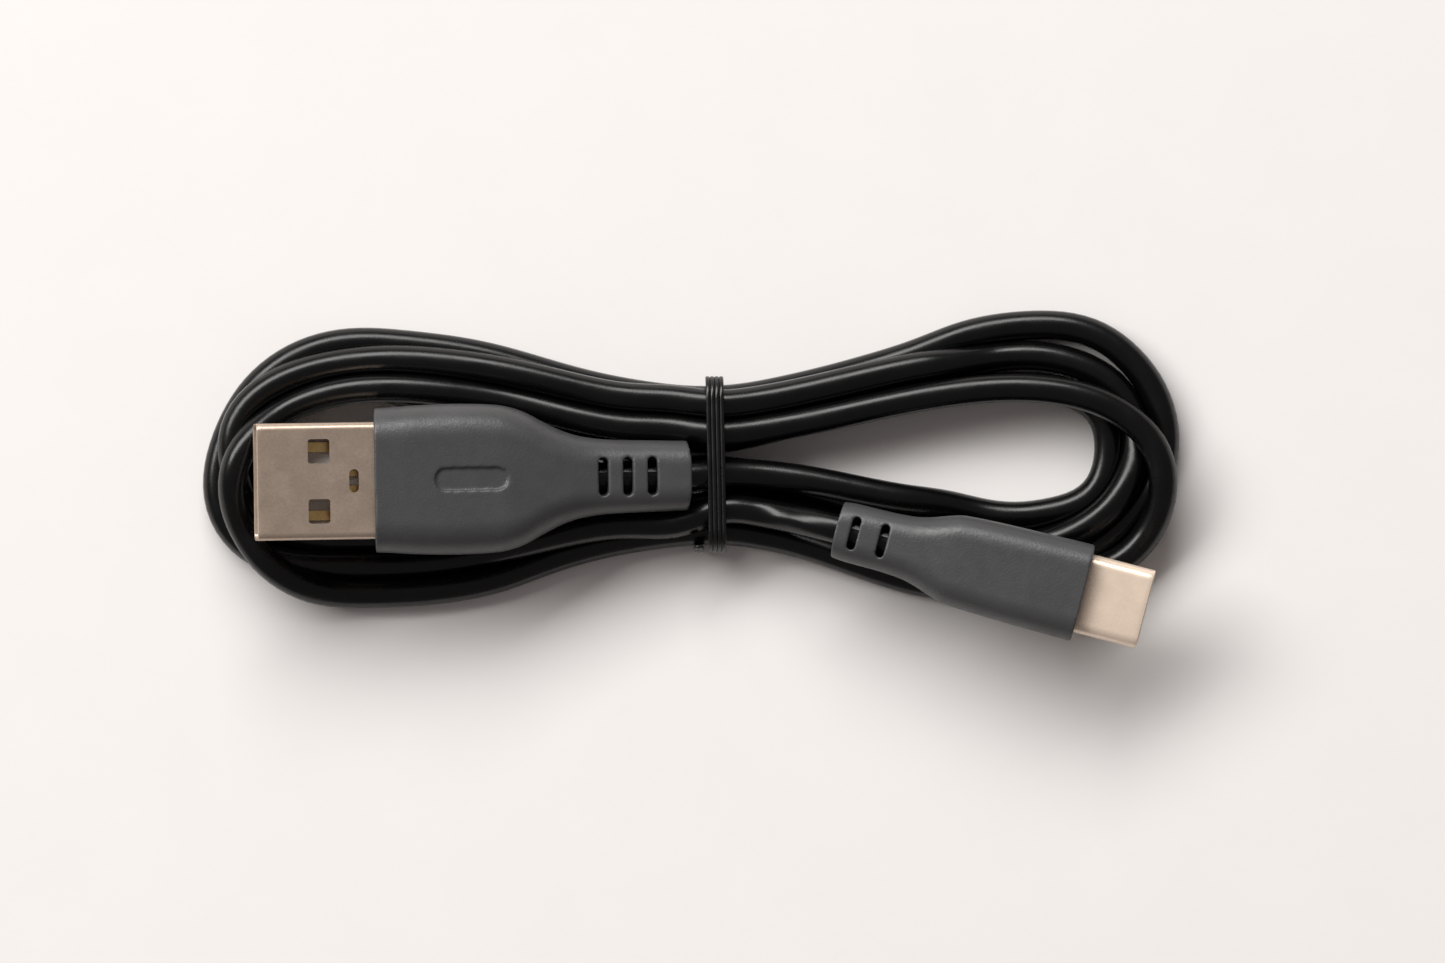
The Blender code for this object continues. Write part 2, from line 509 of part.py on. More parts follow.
def cord_hank(material, frame, boot_clearance):
    """The outer shape of the wound cord: two layers high, one where a plug or a lead lies on it."""
    hank = prism("cord_hank", smooth_outline(HANK_OUTLINE), 0.0, HANK_HEIGHT, material, frame)
    cutters = [prism(f"hank_{name}", smooth_outline(outline), -MM, HANK_HEIGHT + MM, None, frame)
               for name, outline in (("left_window", LEFT_WINDOW), ("right_window", RIGHT_WINDOW))]
    for name, outline in (("left_low_area", LEFT_LOW_AREA), ("right_low_area", RIGHT_LOW_AREA)):
        corners = [(x * MM, y * MM) for x, y in outline]
        cutters.append(prism(f"hank_{name}", corners, LOWER_LAYER, HANK_HEIGHT + MM, None, frame))
    groove = block("hank_tie_groove", TIE_X - TIE_WIDTH / 2 - 2 * GAP, TIE_X + TIE_WIDTH / 2 + 2 * GAP,
                   30 * MM, 2 * (TIE_THICKNESS + GAP), None, frame)
    cut(hank, *cutters, groove, boot_clearance)


def usb_c_lead(material, frame, pivot_matrix):
    """The free stretch of cord between the tie and the USB-C strain relief."""
    start = Vector((RIGHT_LOW_AREA[0][0] * MM + GAP, -2.95 * MM, 1.5 * CORD_DIAMETER + 0.2 * MM))
    mouth = pivot_matrix @ Vector((-FINE_GAP, 0, 0))
    before = pivot_matrix @ Vector((-2.4 * MM, 0, 0))
    rise = before.z - start.z
    route = [start, start + Vector((0.8 * MM, 0, 0)), start + Vector((2.8 * MM, -0.4 * MM, 0.2 * rise)),
             start + Vector((5.4 * MM, -1.2 * MM, 0.66 * rise)), before, mouth]
    tube("cord_lead_usb_c", smooth_path(route, 1.2 * MM), CORD_RADIUS, material, frame)


def tie_band(material, frame):
    """A ribbed band round the waist, closed on itself."""
    inner_y0, inner_y1 = WAIST_BOTTOM - GAP, WAIST_TOP + GAP
    inner_z0, inner_z1 = TIE_THICKNESS, HANK_HEIGHT + GAP
    width, height = inner_y1 - inner_y0, inner_z1 - inner_z0
    middle = Vector((TIE_X, (inner_y0 + inner_y1) / 2, (inner_z0 + inner_z1) / 2))
    ribs = 2 * TIE_RIBS
    profile = [(0.0, -TIE_WIDTH / 2)]
    for i in range(ribs + 1):
        depth = 0.0 if i % 2 else TIE_RIB_DEPTH
        profile.append((TIE_THICKNESS - depth, TIE_WIDTH * (i / ribs - 0.5)))
    profile.append((0.0, TIE_WIDTH / 2))
    loops = [rounded_rectangle(width + 2 * d, height + 2 * d, GAP + d, 3) for d, _ in profile]
    bm = bmesh.new()
    rows = [[bm.verts.new((x, y, z)) for y, z in loop] for (_, x), loop in zip(profile, loops)]
    for k, row in enumerate(rows):
        after = rows[(k + 1) % len(rows)]
        for i in range(len(row)):
            j = (i + 1) % len(row)
            bm.faces.new((row[i], row[j], after[j], after[i]))
    band = mesh_object("tie_band", bm, material, frame)
    band.location = middle
    band.rotation_euler = (0, 0, TIE_SLANT)


def tie_tail(material, frame):
    """The tie's loose end, folded up the hank's side next to the band."""
    x1 = TIE_X - TIE_WIDTH / 2 - GAP
    y1 = WAIST_BOTTOM - GAP
    outline = [(x1 - TAIL_WIDTH, y1 - 0.55 * MM), (x1 - 0.3 * MM, y1 - 0.55 * MM), (x1, y1 - 0.4 * MM),
               (x1, y1), (x1 - TAIL_WIDTH, y1)]
    prism("tie_tail", outline, TIE_THICKNESS, TIE_THICKNESS + TAIL_LENGTH, material, frame)


def main():
    clear_scene()
    materials = {
        "cord": make_material("cord_jacket_black", (0.012, 0.012, 0.013), 0.38),
        "boot": make_material("boot_grey_rubber", (0.068, 0.068, 0.071), 0.72),
        "champagne": make_material("champagne_steel", (0.58, 0.49, 0.40), 0.34, 1.0),
        "pale_gold": make_material("pale_gold_steel", (0.75, 0.62, 0.51), 0.3, 1.0),
        "gold": make_material("gold_plating", (0.83, 0.60, 0.26), 0.3, 1.0),
        "steel": make_material("spring_steel", (0.55, 0.55, 0.56), 0.3, 1.0),
        "tinned": make_material("tinned_steel", (0.62, 0.62, 0.63), 0.42, 1.0),
        "liner": make_material("insulator_grey", (0.42, 0.42, 0.43), 0.5),
        "black_plastic": make_material("contact_carrier_black", (0.02, 0.02, 0.02), 0.5),
        "board": make_material("board_green", (0.02, 0.12, 0.05), 0.45),
        "tie": make_material("tie_black", (0.015, 0.015, 0.016), 0.45),
        "red": make_material("wire_red", (0.55, 0.02, 0.02), 0.5),
        "black": make_material("wire_black", (0.02, 0.02, 0.02), 0.5),
        "green": make_material("wire_green", (0.02, 0.30, 0.06), 0.5),
        "white": make_material("wire_white", (0.75, 0.75, 0.75), 0.5),
    }
    frame = bpy.data.objects.new("cable_frame", None)
    bpy.context.scene.collection.objects.link(frame)
    frame.location = FRAME_SHIFT

    a_height = LOWER_LAYER + GAP + A_NECK_HEIGHT / 2
    c_height = 1.75 * CORD_DIAMETER + C_NECK_HEIGHT / 2
    a_pivot = plug_pivot("usb_a_pivot", A_MOUTH, a_height, A_YAW, A_PITCH, frame)
    c_pivot = plug_pivot("usb_c_pivot", C_MOUTH, c_height, C_YAW, C_PITCH, frame)
    boot_clearance = usb_a_plug(a_pivot, materials)
    usb_c_plug(c_pivot, materials)
    cord_hank(materials["cord"], frame, boot_clearance)
    c_matrix = Matrix.LocRotScale(c_pivot.location, c_pivot.rotation_euler, None)
    usb_c_lead(materials["cord"], frame, c_matrix)
    tie_band(materials["tie"], frame)
    tie_tail(materials["tie"], frame)


main()
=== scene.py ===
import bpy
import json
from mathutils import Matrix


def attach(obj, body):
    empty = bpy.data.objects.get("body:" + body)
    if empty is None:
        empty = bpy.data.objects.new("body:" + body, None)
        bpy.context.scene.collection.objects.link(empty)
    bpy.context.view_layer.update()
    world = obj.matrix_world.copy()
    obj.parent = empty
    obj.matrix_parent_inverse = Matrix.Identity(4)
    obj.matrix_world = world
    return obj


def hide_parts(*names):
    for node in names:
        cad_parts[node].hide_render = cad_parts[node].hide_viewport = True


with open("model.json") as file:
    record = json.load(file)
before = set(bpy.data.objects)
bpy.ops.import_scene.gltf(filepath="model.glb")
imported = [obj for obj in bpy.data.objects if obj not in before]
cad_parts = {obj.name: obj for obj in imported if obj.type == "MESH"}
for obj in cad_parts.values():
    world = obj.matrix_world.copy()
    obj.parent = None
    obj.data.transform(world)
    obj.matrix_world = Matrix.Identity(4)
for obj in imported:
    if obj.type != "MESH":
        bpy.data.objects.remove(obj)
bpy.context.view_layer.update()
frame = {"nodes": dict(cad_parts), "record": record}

import collections
import json
import math

import bmesh
import bpy
import numpy as np
from mathutils import Matrix, Vector

MM = 0.001
scene = bpy.context.scene

# The hank's frame is shifted a little in the row frame, so that the origin is under the whole cable's middle.
SHIFT = np.array((-0.02, 0.33, 0.0))
CORD_D = 3.0  # millimetres, like every number in the route
CORD_R = CORD_D / 2
HANK_BODY, A_BODY, C_BODY = "wound_cord", "usb_a_plug", "usb_c_plug"
A_BOOT, C_BOOT = 32.5, 26.15  # lengths of the boots, from the mouth to the front face
Shell = collections.namedtuple("Shell", "width height wall out inside")  # out past the boot, inside it
A_SHELL = Shell(12.0, 4.5, 0.3, 12.3, 6.4)
C_SHELL = Shell(8.25, 2.4, 0.2, 6.65, 4.6)
BORE_ROOM = 0.22  # gap between the cord and a boot's bore


# ---------------------------------------------------------------- frames of the two plugs

def plug_frame(joint_name, mount_name):
    """The matrix of a plug's own frame, in metres: origin in the boot's mouth, +X to the tip, +Z up."""
    record = frame["record"]
    joint = next(j for j in record["behaviour"]["joints"] if j["name"] == joint_name)
    mount = next(m for m in record["mounts"] if m["name"] == mount_name)
    x = Vector(mount["axis"]).normalized()
    y = -Vector(joint["axis"]).normalized()
    z = x.cross(y).normalized()
    y = z.cross(x)
    turned = Matrix((x, y, z)).transposed().to_4x4()
    return Matrix.Translation(joint["pos_m"]) @ turned


A_FRAME = plug_frame("usb_a_lift", "usb_a_boot_front")
C_FRAME = plug_frame("usb_c_lift", "usb_c_boot_front")


# ---------------------------------------------------------------- node helpers

def new_material(name, **inputs):
    """A material whose Principled shader has these values. The caller adds the detail nodes."""
    material = bpy.data.materials.new(name)
    material.use_nodes = True
    shader = material.node_tree.nodes["Principled BSDF"]
    for key, value in inputs.items():
        socket = shader.inputs[key.replace("_", " ")]
        socket.default_value = (*value, 1.0) if isinstance(value, tuple) else value
    return material, material.node_tree, shader


def node(tree, kind, **values):
    made = tree.nodes.new(kind)
    for key, value in values.items():
        if key in made.inputs:
            made.inputs[key].default_value = value
        else:
            setattr(made, key, value)
    return made


def object_noise(tree, scale, detail=2.0, roughness=0.5, stretch=(1, 1, 1)):
    """A noise in object space. scale is in waves per metre."""
    place = node(tree, "ShaderNodeTexCoord")
    mapping = node(tree, "ShaderNodeMapping")
    mapping.inputs["Scale"].default_value = stretch
    noise = node(tree, "ShaderNodeTexNoise", Scale=scale, Detail=detail, Roughness=roughness)
    tree.links.new(place.outputs["Object"], mapping.inputs["Vector"])
    tree.links.new(mapping.outputs["Vector"], noise.inputs["Vector"])
    return noise.outputs["Fac"]


def spread(tree, factor, low, high, start=0.3, end=0.7):
    """factor from start to end turned into a value from low to high."""
    made = node(tree, "ShaderNodeMapRange")
    for key, value in (("From Min", start), ("From Max", end), ("To Min", low), ("To Max", high)):
        made.inputs[key].default_value = value
    tree.links.new(factor, made.inputs["Value"])
    return made.outputs["Result"]


def colour_mix(tree, shader, factor, dark, light):
    ramp = node(tree, "ShaderNodeValToRGB")
    ramp.color_ramp.elements[0].color = (*dark, 1)
    ramp.color_ramp.elements[1].color = (*light, 1)
    ramp.color_ramp.elements[0].position, ramp.color_ramp.elements[1].position = 0.25, 0.75
    tree.links.new(factor, ramp.inputs["Fac"])
    tree.links.new(ramp.outputs["Color"], shader.inputs["Base Color"])


def bumps(tree, shader, *layers):
    """Each layer is (height socket, strength, distance in metres)."""
    normal = None
    for height, strength, distance in layers:
        bump = node(tree, "ShaderNodeBump", Strength=strength, Distance=distance)
        tree.links.new(height, bump.inputs["Height"])
        if normal:
            tree.links.new(normal, bump.inputs["Normal"])
        normal = bump.outputs["Normal"]
    tree.links.new(normal, shader.inputs["Normal"])


# ---------------------------------------------------------------- materials

def cord_material():
    material, tree, shader = new_material("cord_jacket_black_tpe", Roughness=0.26, Specular_IOR_Level=0.36)
    mottle = object_noise(tree, 160, 3.0)
    colour_mix(tree, shader, mottle, (0.0012, 0.0012, 0.0014), (0.0024, 0.0024, 0.0026))
    tree.links.new(spread(tree, object_noise(tree, 420, 3.0), 0.23, 0.30), shader.inputs["Roughness"])
    bumps(tree, shader, (object_noise(tree, 300, 2.0), 0.10, 0.0003), (object_noise(tree, 6000, 2.0), 0.10, 0.00003))
    return material


def boot_material():
    material, tree, shader = new_material("boot_grey_soft_touch", Roughness=0.40, Specular_IOR_Level=0.45)
    mottle = object_noise(tree, 240, 4.0, 0.6)
    colour_mix(tree, shader, mottle, (0.052, 0.052, 0.0535), (0.061, 0.061, 0.0628))
    tree.links.new(spread(tree, object_noise(tree, 900, 3.0), 0.35, 0.46), shader.inputs["Roughness"])
    place = node(tree, "ShaderNodeTexCoord")
    grain = node(tree, "ShaderNodeTexVoronoi", Scale=4200.0, feature="SMOOTH_F1", Smoothness=0.8)
    tree.links.new(place.outputs["Object"], grain.inputs["Vector"])
    bumps(tree, shader, (grain.outputs["Distance"], 0.22, 0.00007),
          (object_noise(tree, 5200, 3.0, 0.6), 0.14, 0.00005), (object_noise(tree, 260, 2.0), 0.08, 0.0003))
    return material


def shell_material(name, dark, light, grain_scale, roughness, metallic):
    """Satin plating: bright metal under a fine bead-blasted grain, a little duller in patches."""
    material, tree, shader = new_material(name, Metallic=metallic, Roughness=roughness)
    fine = object_noise(tree, grain_scale, 3.0, 0.65)
    colour_mix(tree, shader, fine, dark, light)
    tree.links.new(spread(tree, object_noise(tree, 500, 3.0), roughness - 0.05, roughness + 0.07),
                   shader.inputs["Roughness"])
    bumps(tree, shader, (fine, 0.16, 0.00005), (object_noise(tree, 350, 2.0), 0.05, 0.0002))
    return material


def plain_material(name, dark, light, roughness, metallic=0.0, scale=1500, bump=0.1):
    material, tree, shader = new_material(name, Metallic=metallic, Roughness=roughness)
    colour_mix(tree, shader, object_noise(tree, scale, 3.0), dark, light)
    tree.links.new(spread(tree, object_noise(tree, scale * 0.6, 2.0), roughness * 0.85, roughness * 1.15),
                   shader.inputs["Roughness"])
    bumps(tree, shader, (object_noise(tree, scale * 3, 2.0), bump, 0.00004))
    return material


def floor_material():
    material, tree, shader = new_material("floor_pale_paper", Roughness=0.85, Specular_IOR_Level=0.2)
    colour_mix(tree, shader, object_noise(tree, 90, 4.0, 0.6), (0.850, 0.826, 0.808), (0.866, 0.842, 0.824))
    bumps(tree, shader, (object_noise(tree, 1500, 3.0, 0.6), 0.06, 0.0001))
    return material


CORD = cord_material()
BOOT = boot_material()
CHAMPAGNE = shell_material("champagne_satin_plating", (0.46, 0.362, 0.282), (0.57, 0.455, 0.365), 3800, 0.33, 0.70)
PALE_GOLD = shell_material("pale_gold_satin_plating", (0.84, 0.68, 0.54), (0.93, 0.77, 0.625), 5200, 0.30, 0.38)
GOLD = plain_material("contact_gold", (0.72, 0.48, 0.18), (0.86, 0.62, 0.28), 0.28, 1.0)
STEEL = plain_material("latch_steel", (0.48, 0.48, 0.49), (0.58, 0.58, 0.59), 0.32, 1.0)
TINNED = plain_material("shield_tinned_steel", (0.52, 0.52, 0.53), (0.66, 0.66, 0.67), 0.42, 1.0)
INSULATOR = plain_material("insulator_grey_plastic", (0.56, 0.54, 0.52), (0.64, 0.62, 0.60), 0.5)
CARRIER = plain_material("carrier_black_plastic", (0.012, 0.012, 0.012), (0.022, 0.022, 0.022), 0.5)
BOARD = plain_material("board_green_mask", (0.010, 0.080, 0.030), (0.020, 0.120, 0.050), 0.4)
TIE = plain_material("tie_black_ribbed", (0.0016, 0.0016, 0.0018), (0.0034, 0.0034, 0.0036), 0.30, scale=900, bump=0.25)
WIRES = {
    "red": plain_material("wire_red_pvc", (0.42, 0.012, 0.012), (0.56, 0.02, 0.02), 0.45),
    "white": plain_material("wire_white_pvc", (0.66, 0.66, 0.65), (0.76, 0.76, 0.75), 0.45),
    "green": plain_material("wire_green_pvc", (0.012, 0.22, 0.04), (0.02, 0.32, 0.06), 0.45),
    "black": plain_material("wire_black_pvc", (0.010, 0.010, 0.010), (0.02, 0.02, 0.02), 0.45),
}


# ---------------------------------------------------------------- mesh helpers

def finish_mesh(name, bm, material, matrix=None, sharp=40.0):
    """A mesh object, placed by matrix, with its round sides smooth. bm is in millimetres."""
    bmesh.ops.recalc_face_normals(bm, faces=bm.faces)
    mesh = bpy.data.meshes.new(name)
    bmesh.ops.scale(bm, vec=(MM, MM, MM), verts=bm.verts)
    if matrix:
        bmesh.ops.transform(bm, matrix=matrix, verts=bm.verts)
    bm.to_mesh(mesh)
    bm.free()
    mesh.shade_smooth()
    mesh.set_sharp_from_angle(angle=math.radians(sharp))
    obj = bpy.data.objects.new(name, mesh)
    scene.collection.objects.link(obj)
    if material:
        mesh.materials.append(material)
    return obj


def loft(bm, rings, caps=True, closed=False):
    """Joins rings of equally many points. caps fills both ends with fans."""
    rows = [[bm.verts.new(p) for p in ring] for ring in rings]
    pairs = list(zip(rows, rows[1:]))
    if closed:
        pairs.append((rows[-1], rows[0]))
    for low, high in pairs:
        for i in range(len(low)):
            j = (i + 1) % len(low)
            bm.faces.new((low[i], low[j], high[j], high[i]))
    if caps:
        for row in (rows[0], rows[-1]):
            middle = bm.verts.new(sum((v.co for v in row), Vector()) / len(row))
            for i in range(len(row)):
                bm.faces.new((row[i], row[(i + 1) % len(row)], middle))
    return rows


def rounded_outline(width, height, radius, steps):
    """Points round a rectangle with round corners, anticlockwise, in millimetres."""
    radius = min(radius, width / 2 - 1e-4, height / 2 - 1e-4)
    points = []
    for quarter in range(4):
        a0 = quarter * math.pi / 2
        cx = (width / 2 - radius) * (1 if quarter in (0, 3) else -1)
        cy = (height / 2 - radius) * (1 if quarter in (0, 1) else -1)
        for i in range(steps + 1):
            a = a0 + math.pi / 2 * i / steps
            points.append((cx + radius * math.cos(a), cy + radius * math.sin(a)))
    return points


def prism(name, outline, z0, z1, matrix, taper=0.0):
    """A cutter: an outline in the plug's XY plane, from z0 to z1. taper widens its top."""
    bm = bmesh.new()
    n = len(outline)
    cx, cy = sum(p[0] for p in outline) / n, sum(p[1] for p in outline) / n
    grown = [(x + taper * math.copysign(1, x - cx), y + taper * math.copysign(1, y - cy)) for x, y in outline]
    loft(bm, [[(x, y, z0) for x, y in outline], [(x, y, z1) for x, y in grown]])
    return finish_mesh(name, bm, None, matrix)


def bar(name, x0, x1, width, height, radius, matrix, steps=6):
    bm = bmesh.new()
    section = rounded_outline(width, height, radius, steps)
    loft(bm, [[(x, y, z) for y, z in section] for x in (x0, x1)])
    return finish_mesh(name, bm, None, matrix)


def rod(name, x0, x1, radius, matrix, sides=48):
    bm = bmesh.new()
    ring = [(radius * math.cos(2 * math.pi * i / sides), radius * math.sin(2 * math.pi * i / sides))
            for i in range(sides)]
    loft(bm, [[(x, y, z) for y, z in ring] for x in (x0, x1)])
    return finish_mesh(name, bm, None, matrix)


def cut(obj, cutters):
    """Takes the cutters out of obj, then removes them."""
    for cutter in cutters:
        modifier = obj.modifiers.new("cut", "BOOLEAN")
        modifier.operation, modifier.solver, modifier.object = "DIFFERENCE", "EXACT", cutter
    apply_modifiers(obj)
    for cutter in cutters:
        bpy.data.objects.remove(cutter, do_unlink=True)


def apply_modifiers(obj):
    bpy.context.view_layer.update()
    graph = bpy.context.evaluated_depsgraph_get()
    mesh = bpy.data.meshes.new_from_object(obj.evaluated_get(graph))
    obj.modifiers.clear()
    old = obj.data
    obj.data = mesh
    mesh.name = obj.name
    bpy.data.meshes.remove(old)


def soften(obj, voxel, rounds, amount=0.5):
    """Turns the cut solid into an even skin whose edges are slightly rounded, as a moulding's are."""
    remesh = obj.modifiers.new("skin", "REMESH")
    remesh.mode, remesh.voxel_size, remesh.use_smooth_shade = "VOXEL", voxel * MM, True
    smooth = obj.modifiers.new("round", "SMOOTH")
    smooth.factor, smooth.iterations = amount, rounds
    apply_modifiers(obj)
    obj.data.shade_smooth()


def between(x, table):
    """A value on the smooth curve through (position, value) pairs."""
    xs, ys = zip(*table)
    if x <= xs[0]:
        return ys[0]
    if x >= xs[-1]:
        return ys[-1]
    k = max(i for i in range(len(xs) - 1) if xs[i] <= x)
    slopes = [0.0] * len(xs)
    for i in range(1, len(xs) - 1):
        a = (ys[i] - ys[i - 1]) / (xs[i] - xs[i - 1])
        b = (ys[i + 1] - ys[i]) / (xs[i + 1] - xs[i])
        slopes[i] = 0.0 if a * b <= 0 else 2 * a * b / (a + b)
    h = xs[k + 1] - xs[k]
    t = (x - xs[k]) / h
    return ((2 * t**3 - 3 * t**2 + 1) * ys[k] + (t**3 - 2 * t**2 + t) * h * slopes[k]
            + (3 * t**2 - 2 * t**3) * ys[k + 1] + (t**3 - t**2) * h * slopes[k + 1])


# ---------------------------------------------------------------- the cord's route

# Four turns and the two leads, in millimetres, from the USB-A mouth to the USB-C mouth. The first number runs
# along the hank, the second across it, and the third is the height of the cord's middle over the floor.
ROUTE = (
    # from the USB-A plug over the waist, round the right end and back
    (4.9, 0.3, 5.0), (7.9, 0.1, 4.9), (11.0, -0.3, 4.7), (16.9, -1.5, 4.3), (21.1, -2.4, 4.1),
    (25.2, -3.3, 3.7), (29.5, -4.1, 2.7), (33.9, -4.4, 1.9), (37.7, -3.9, 1.5), (40.9, -2.4, 1.5),
    (43.0, 0.3, 1.5), (43.7, 3.6, 1.5), (43.0, 6.7, 1.5), (39.7, 8.5, 1.5), (35.6, 9.2, 1.5),
    (31.5, 9.2, 1.5), (25.4, 8.6, 1.5), (18.9, 7.4, 1.5), (11.0, 5.6, 1.5), (5.9, 4.4, 1.7),
    (2.2, 3.8, 2.15), (-1.3, 4.1, 1.75), (-5.4, 4.5, 1.5), (-9.5, 4.9, 1.5), (-17.7, 5.8, 1.5),
    (-24.9, 7.4, 1.5), (-31.0, 9.0, 1.5), (-36.9, 9.3, 1.5), (-41.4, 7.9, 1.5), (-44.2, 5.2, 1.5),
    (-45.1, 1.9, 1.5), (-44.0, -1.2, 1.5), (-41.2, -3.1, 1.5), (-37.0, -3.7, 1.5), (-31.5, -3.7, 1.5),
    (-24.9, -3.1, 1.5), (-17.7, -1.8, 1.5), (-10.5, -0.4, 1.5), (-5.4, 0.3, 1.5),
    # second turn
    (-1.3, 0.5, 1.7), (2.2, 0.7, 2.15), (5.7, 0.2, 1.75), (10.0, -0.7, 1.5), (14.1, -1.7, 1.5),
    (19.2, -3.4, 1.5), (25.4, -5.5, 1.5), (31.5, -6.9, 1.6), (37.8, -6.5, 2.4), (42.6, -3.9, 3.6),
    (44.8, -0.4, 3.8), (45.6, 3.2, 3.8), (45.0, 6.6, 3.7), (43.2, 9.3, 2.9), (39.6, 11.6, 1.9),
    (35.1, 12.5, 1.9), (30.5, 12.5, 3.0), (25.4, 11.8, 4.1), (21.3, 11.0, 4.4), (13.1, 9.1, 4.5),
    (6.9, 7.8, 4.8), (2.2, 7.2, 5.1), (-2.3, 7.5, 4.8), (-7.4, 8.0, 4.5), (-13.6, 9.3, 4.5),
    (-19.7, 10.6, 4.3), (-25.9, 11.5, 4.2), (-32.4, 12.0, 4.1), (-36.8, 11.5, 4.1), (-42.0, 9.8, 4.3),
    (-45.1, 7.8, 4.4), (-46.9, 5.3, 4.5), (-47.6, 2.2, 4.5), (-47.3, -1.4, 4.2), (-45.6, -4.2, 3.2),
    (-42.7, -6.0, 2.0), (-38.2, -6.3, 1.5), (-32.2, -6.2, 1.5), (-25.4, -5.7, 1.5), (-17.7, -4.4, 1.5),
    (-9.5, -3.2, 1.5), (-4.4, -2.6, 1.5),
    # third turn, which crosses over the others at both ends
    (-1.3, -2.5, 1.7), (2.2, -2.5, 2.15), (5.7, -2.8, 1.75), (11.0, -3.6, 1.5), (16.2, -5.2, 1.5),
    (22.3, -7.4, 1.9), (27.4, -9.0, 3.0), (32.6, -10.1, 4.2), (37.7, -10.4, 5.0), (41.8, -9.5, 5.6),
    (45.3, -7.4, 6.0), (47.6, -4.0, 6.4), (48.5, -0.2, 6.7), (47.8, 2.8, 6.9), (46.1, 5.0, 6.8),
    (43.5, 6.9, 6.2), (39.6, 8.4, 5.2), (33.7, 9.1, 4.6), (27.4, 8.7, 4.5), (18.9, 7.2, 4.5),
    (11.0, 5.5, 4.6), (5.9, 4.7, 4.8), (2.2, 4.3, 5.1), (-2.3, 4.6, 4.8), (-9.5, 5.6, 4.5),
    (-15.6, 7.0, 4.1), (-21.8, 8.4, 3.7), (-26.9, 9.1, 3.9), (-31.0, 9.3, 4.5), (-36.9, 8.9, 5.6),
    (-40.8, 7.8, 6.2), (-43.5, 6.2, 6.8), (-46.0, 3.7, 7.3), (-47.2, 0.8, 7.4), (-47.3, -2.2, 7.0),
    (-46.1, -5.7, 5.8), (-44.0, -8.8, 4.6), (-40.6, -10.8, 3.5), (-35.1, -11.7, 2.4), (-27.4, -11.6, 1.5),
    (-22.2, -10.7, 1.5), (-14.1, -8.2, 1.5), (-7.8, -6.5, 1.5), (-3.3, -5.8, 1.6),
    # fourth turn, the outermost, and back up to the upper layer
    (2.2, -5.5, 2.15), (5.7, -5.8, 1.75), (10.0, -6.6, 1.5), (14.3, -8.0, 1.5), (20.2, -10.0, 1.5),
    (25.9, -10.9, 1.5), (31.5, -10.8, 1.5), (36.7, -9.7, 1.5), (41.6, -7.2, 1.5), (45.0, -4.5, 1.5),
    (47.2, -1.3, 1.5), (48.2, 1.4, 1.5), (48.4, 4.5, 1.5), (47.6, 7.9, 1.5), (45.7, 11.3, 1.5),
    (41.5, 14.7, 1.5), (36.2, 15.6, 1.5), (31.8, 15.1, 1.5), (26.4, 13.5, 1.5), (21.6, 12.0, 1.5),
    (11.3, 9.2, 1.5), (6.4, 8.2, 1.7), (2.2, 7.7, 2.15), (-1.8, 7.9, 1.75), (-7.7, 8.7, 1.5),
    (-13.6, 10.1, 1.5), (-20.2, 12.0, 1.5), (-25.9, 13.0, 1.5), (-30.2, 13.4, 1.5), (-35.0, 13.6, 1.5),
    (-39.7, 12.6, 1.5), (-44.3, 9.8, 1.5), (-47.4, 5.2, 1.5), (-48.5, 0.6, 1.5), (-48.1, -3.2, 1.5),
    (-46.2, -6.6, 1.5), (-42.2, -8.9, 1.5), (-37.2, -9.2, 1.5), (-31.2, -8.9, 1.6), (-24.9, -8.5, 1.9),
    (-18.6, -7.1, 2.8), (-11.5, -5.6, 3.5), (-4.4, -4.7, 4.0), (-1.0, -4.1, 4.7),
    # the lead to the USB-C plug
    (2.4, -3.1, 5.2), (5.9, -3.5, 5.5), (9.5, -4.2, 6.3),
)
TIE_X = 2.4  # where the tie passes under the cord
STRAP_TOP = 0.65  # how far the tie's lower run lifts the cord off the floor
ROUTE_STEP = 1.0  # distance between the points of the cord's centreline
FINE_STEP = 0.2  # distance between the points that it is picked from


def at(matrix, x, y=0.0, z=0.0):
    """A point of a plug's frame, as millimetres in the row frame."""
    return np.array(matrix @ Vector((x * MM, y * MM, z * MM))) / MM


def whole_route():
    """The route with both ends led straight into the plugs' bores, in millimetres in the row frame."""
    start = [at(A_FRAME, x) for x in (0.7, -0.2, -1.3)]
    waist = [np.array((2.3, 0.35, 5.25)) + SHIFT]
    middle = [np.array(p) + SHIFT for p in ROUTE]
    end = [at(C_FRAME, x) for x in (-2.6, -1.2, -0.2, 0.7)]
    return np.array(start + waist + middle + end)


def spline(points, step):
    """The natural cubic spline through points, sampled about step apart."""
    gaps = np.linalg.norm(np.diff(points, axis=0), axis=1)
    t = np.concatenate([[0], np.cumsum(gaps)])
    n, h = len(t), np.diff(t)
    left, right = np.zeros((n, n)), np.zeros((n, 3))
    left[0, 0] = left[-1, -1] = 1
    for i in range(1, n - 1):
        left[i, i - 1], left[i, i], left[i, i + 1] = h[i - 1], 2 * (h[i - 1] + h[i]), h[i]
        right[i] = 6 * ((points[i + 1] - points[i]) / h[i] - (points[i] - points[i - 1]) / h[i - 1])
    bend = np.linalg.solve(left, right)
    u = np.linspace(0, t[-1], int(t[-1] / FINE_STEP))
    k = np.clip(np.searchsorted(t, u, side="right") - 1, 0, n - 2)
    width = h[k][:, None]
    a, b = ((t[k + 1] - u) / h[k])[:, None], ((u - t[k]) / h[k])[:, None]
    line = (a * points[k] + b * points[k + 1]
            + ((a**3 - a) * bend[k] + (b**3 - b) * bend[k + 1]) * width**2 / 6)
    return evenly(line, step)


